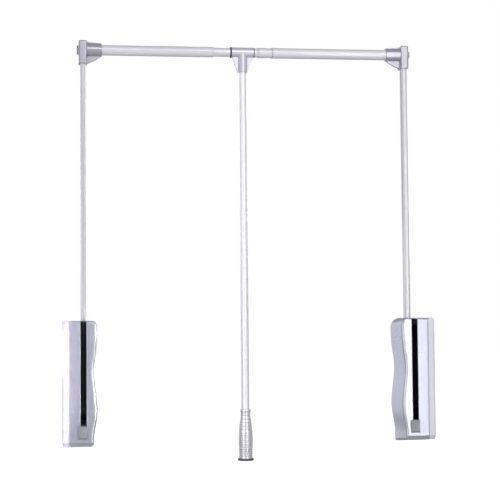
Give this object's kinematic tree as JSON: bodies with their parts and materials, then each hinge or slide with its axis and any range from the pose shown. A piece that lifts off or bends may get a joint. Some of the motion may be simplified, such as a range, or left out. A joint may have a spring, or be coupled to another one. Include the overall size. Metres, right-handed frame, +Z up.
{
  "type": "pull down closet rod",
  "caption": "Pull-down wardrobe rail: two wall housings with sprung, damped arms carry a telescopic hanging rail that swings forward and down by a hanging pull rod with a ringed grip.",
  "frame": {"origin": "where the swing axis meets the left wall face", "axes": "+X from the left wall to the right wall, along the swing axis and the rail; -Y out of the wardrobe's front, the way the arms swing; +Z up, along the raised arms"},
  "size_m": [0.83, 0.1215, 0.9456],
  "materials": {
    "housing_plastic": "satin silver-grey moulded plastic",
    "silver_plastic": "satin silver-grey moulded plastic",
    "tee_plastic": "semi-gloss silver moulded plastic",
    "cap_plastic": "satin grey plastic",
    "bumper_rubber": "matt grey rubber",
    "foot_rubber": "matt dark grey rubber",
    "black_steel": "black powder coat",
    "silver_tube": "silver powder coat",
    "bright_tube": "bright plated",
    "bright_steel": "ground bright",
    "zinc_steel": "bright zinc plate",
    "spring_steel": "oiled spring steel",
    "bronze": "sintered, oiled",
    "black_nylon": "black moulded nylon",
    "damper_gland": "turned",
    "grip_plastic": "polished silver finish with turned rings"
  },
  "bodies": {
    "left_housing": {"left_base": "housing_plastic", "left_cover": "housing_plastic", "left_cover_screws": "zinc_steel", "left_bumper": "bumper_rubber", "left_chassis": "black_steel", "left_pivot_pin": "bright_steel", "left_pivot_spacers": "black_nylon", "left_pivot_clip": "spring_steel", "left_rack_guide": "black_nylon", "left_spring": "spring_steel", "left_spring_seat": "zinc_steel", "left_damper_body": "black_steel", "left_damper_gland": "damper_gland", "left_damper_nut": "zinc_steel"},
    "left_frame": {"left_pivot_bush": "bronze", "left_lever": "black_steel", "left_arm": "silver_tube", "left_arm_rivets": "bright_steel", "left_corner": "silver_plastic", "left_corner_cap": "cap_plastic", "left_corner_bolt": "zinc_steel", "left_rail_plug": "black_nylon", "left_rail_tube": "silver_tube"},
    "left_rack": {"left_rack": "bright_steel", "left_damper_rod": "bright_steel"},
    "right_housing": {"right_base": "housing_plastic", "right_cover": "housing_plastic", "right_cover_screws": "zinc_steel", "right_bumper": "bumper_rubber", "right_chassis": "black_steel", "right_pivot_pin": "bright_steel", "right_pivot_spacers": "black_nylon", "right_pivot_clip": "spring_steel", "right_rack_guide": "black_nylon", "right_spring": "spring_steel", "right_spring_seat": "zinc_steel", "right_damper_body": "black_steel", "right_damper_gland": "damper_gland", "right_damper_nut": "zinc_steel"},
    "right_frame": {"right_pivot_bush": "bronze", "right_lever": "black_steel", "right_arm": "silver_tube", "right_arm_rivets": "bright_steel", "right_corner": "silver_plastic", "right_corner_cap": "cap_plastic", "right_corner_bolt": "zinc_steel", "right_rail_plug": "black_nylon", "right_rail_tube": "silver_tube", "rail_collar": "silver_plastic"},
    "right_rack": {"right_rack": "bright_steel", "right_damper_rod": "bright_steel"},
    "centre_rail": {"inner_rail_tube": "bright_tube", "stop_rings": "black_nylon"},
    "pull_rod": {"tee": "tee_plastic", "tee_set_screw": "zinc_steel", "pull_rod": "silver_tube", "grip": "grip_plastic", "grip_collar": "grip_plastic", "grip_foot": "foot_rubber"}
  },
  "joints": [
    {"name": "frame_swing", "type": "hinge", "parent": "left_housing", "child": "left_frame", "pos_m": [0.046, 0, 0], "axis": [1, 0, 0], "range_deg": [0, 100], "stiffness_Nm_per_rad": 12, "springref_deg": -28.65},
    {"name": "right_swing", "type": "hinge", "parent": "right_housing", "child": "right_frame", "pos_m": [0.784, 0, 0], "axis": [1, 0, 0], "range_deg": [0, 100]},
    {"name": "width_adjust", "type": "slide", "parent": "left_housing", "child": "right_housing", "axis": [1, 0, 0], "range_m": [0, 0.32]},
    {"name": "centre_slide", "type": "slide", "parent": "left_frame", "child": "centre_rail", "axis": [1, 0, 0], "range_m": [0, 0.16]},
    {"name": "handle_swing", "type": "hinge", "parent": "centre_rail", "child": "pull_rod", "pos_m": [0.408, 0, 0.812], "axis": [1, 0, 0], "continuous": true},
    {"name": "left_rack_slide", "type": "slide", "parent": "left_housing", "child": "left_rack", "axis": [0, 0, 1], "range_m": [0, 0.0385], "deforming": ["left_spring"]},
    {"name": "right_rack_slide", "type": "slide", "parent": "right_housing", "child": "right_rack", "axis": [0, 0, 1], "range_m": [0, 0.0385], "deforming": ["right_spring"]}
  ],
  "couplings": [
    {"joint": "right_swing", "follows": "frame_swing", "ratio": 1},
    {"joint": "left_rack_slide", "follows": "frame_swing", "m_per_rad": 0.022},
    {"joint": "right_rack_slide", "follows": "frame_swing", "m_per_rad": 0.022},
    {"joint": "centre_slide", "follows": "width_adjust", "ratio": 0.5}
  ]
}
